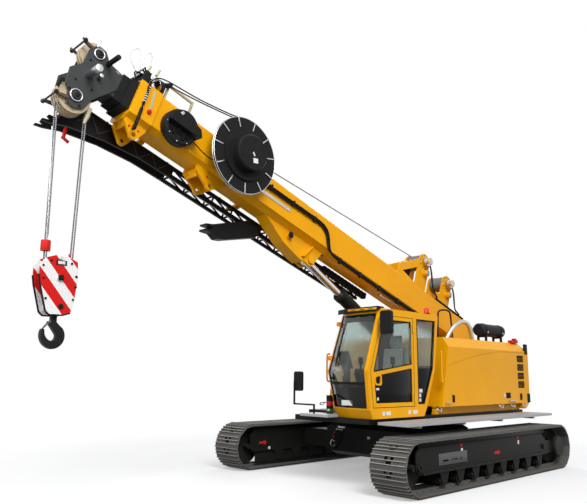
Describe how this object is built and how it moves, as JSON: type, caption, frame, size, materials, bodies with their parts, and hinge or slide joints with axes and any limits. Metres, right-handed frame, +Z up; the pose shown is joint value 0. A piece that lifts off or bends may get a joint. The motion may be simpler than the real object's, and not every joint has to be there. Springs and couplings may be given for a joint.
{
  "type": "crawler crane",
  "caption": "Tracked crane with a nested telescopic boom, luffing cylinder, stowed lattice jib, side cab with a hinged door and a striped hook block.",
  "frame": {"origin": "on the slewing axis at ground level, midway between the tracks", "axes": "+X forward along the boom, +Y to the machine's left (cab side), +Z up"},
  "size_m": [9.7619, 4, 5.6613],
  "materials": {
    "yellow_paint": "gloss",
    "undercarriage_black": "satin",
    "machined_steel": "satin",
    "track_steel": "matt, worn bright on the bars",
    "engine_iron": "matt",
    "muffler_black": "matt",
    "red_paint": "gloss",
    "walkway_grey": "satin",
    "cab_glass": "clear, lightly tinted",
    "seat_fabric": "woven",
    "dark_plastic": "matt",
    "beacon_red": "gloss",
    "rail_beige": "satin",
    "jib_black": "satin",
    "reel_black": "satin",
    "section_black": "satin",
    "head_grey": "satin",
    "sheave_beige": "satin",
    "rope_steel": "dull",
    "block_red_white": "gloss, white stripes",
    "hook_black": "satin",
    "rod_chrome": "polished"
  },
  "bodies": {
    "undercarriage": {"carbody": "undercarriage_black", "slew_ring": "machined_steel", "track_frame_left": "undercarriage_black", "track_frame_right": "undercarriage_black", "track_left": "track_steel", "track_right": "track_steel", "track_wheels": "undercarriage_black", "track_rollers": "undercarriage_black"},
    "upper": {"slew_deck": "undercarriage_black", "counterweight": "yellow_paint", "housing_left": "yellow_paint", "housing_right": "yellow_paint", "engine_block": "engine_iron", "muffler": "muffler_black", "filler_cap": "red_paint", "catwalk": "walkway_grey", "cab_shell": "yellow_paint", "cab_glass": "cab_glass", "operator_seat": "seat_fabric", "cab_console": "dark_plastic", "roof_visor": "dark_plastic", "beacon": "beacon_red", "mirrors": "dark_plastic", "lamp_column": "dark_plastic"},
    "door": {"cab_door": "yellow_paint", "door_glass": "cab_glass"},
    "boom": {"boom_base": "yellow_paint", "cylinder_bracket": "yellow_paint", "winches": "yellow_paint", "sensor_drum": "dark_plastic", "grab_rail": "rail_beige", "work_lamp": "dark_plastic", "stowed_jib": "jib_black"},
    "reel": {"cable_reel": "reel_black"},
    "tele_1": {"boom_section_1": "section_black"},
    "tele_2": {"boom_section_2": "section_black"},
    "tele_3": {"boom_section_3": "head_grey", "head_sheaves": "sheave_beige"},
    "falls": {"hoist_falls": "rope_steel", "block_cheeks": "block_red_white", "block_sheaves": "sheave_beige"},
    "hook": {"hook": "hook_black"},
    "luff_barrel": {"luff_barrel": "jib_black"},
    "luff_rod": {"luff_rod": "rod_chrome"}
  },
  "joints": [
    {"name": "slew", "type": "hinge", "parent": "undercarriage", "child": "upper", "pos_m": [0, 0, 0.868], "axis": [0, 0, 1], "continuous": true},
    {"name": "door_hinge", "type": "hinge", "parent": "upper", "child": "door", "pos_m": [1.257, 1.258, 1.8], "axis": [0, 0, 1], "range_deg": [0, 165]},
    {"name": "boom_luff", "type": "hinge", "parent": "upper", "child": "boom", "pos_m": [-2.15, 0, 2.2], "axis": [0, -1, 0], "range_deg": [-18.5, 61.5]},
    {"name": "luff_barrel_pivot", "type": "hinge", "parent": "upper", "child": "luff_barrel", "pos_m": [-1.4, 0, 1.235], "axis": [0, -1, 0], "range_deg": [-18, 59]},
    {"name": "luff_rod_slide", "type": "slide", "parent": "luff_barrel", "child": "luff_rod", "axis": [0.8672, 0, 0.4979], "range_m": [-0.37, 1.21]},
    {"name": "tele_1_slide", "type": "slide", "parent": "boom", "child": "tele_1", "axis": [0.9483, 0, 0.3173], "range_m": [0, 6.9]},
    {"name": "tele_2_slide", "type": "slide", "parent": "tele_1", "child": "tele_2", "axis": [0.9483, 0, 0.3173], "range_m": [0, 6.9]},
    {"name": "tele_3_slide", "type": "slide", "parent": "tele_2", "child": "tele_3", "axis": [0.9483, 0, 0.3173], "range_m": [0, 6.9]},
    {"name": "falls_swing", "type": "hinge", "parent": "tele_3", "child": "falls", "pos_m": [6.49267, 0, 4.84399], "axis": [0, -1, 0], "range_deg": [-61.5, 18.5]},
    {"name": "hook_swivel", "type": "hinge", "parent": "falls", "child": "hook", "pos_m": [6.49267, 0.063, 2.35], "axis": [0, 0, 1], "continuous": true},
    {"name": "reel_spin", "type": "hinge", "parent": "boom", "child": "reel", "pos_m": [4.09906, 0.4, 4.63889], "axis": [0, 1, 0], "continuous": true}
  ],
  "couplings": [
    {"joint": "luff_barrel_pivot", "follows": "boom_luff", "ratio": 0.9493},
    {"joint": "luff_rod_slide", "follows": "boom_luff", "m_per_rad": 1.11},
    {"joint": "falls_swing", "follows": "boom_luff", "ratio": -1},
    {"joint": "tele_2_slide", "follows": "tele_1_slide", "ratio": 1},
    {"joint": "tele_3_slide", "follows": "tele_1_slide", "ratio": 1}
  ]
}
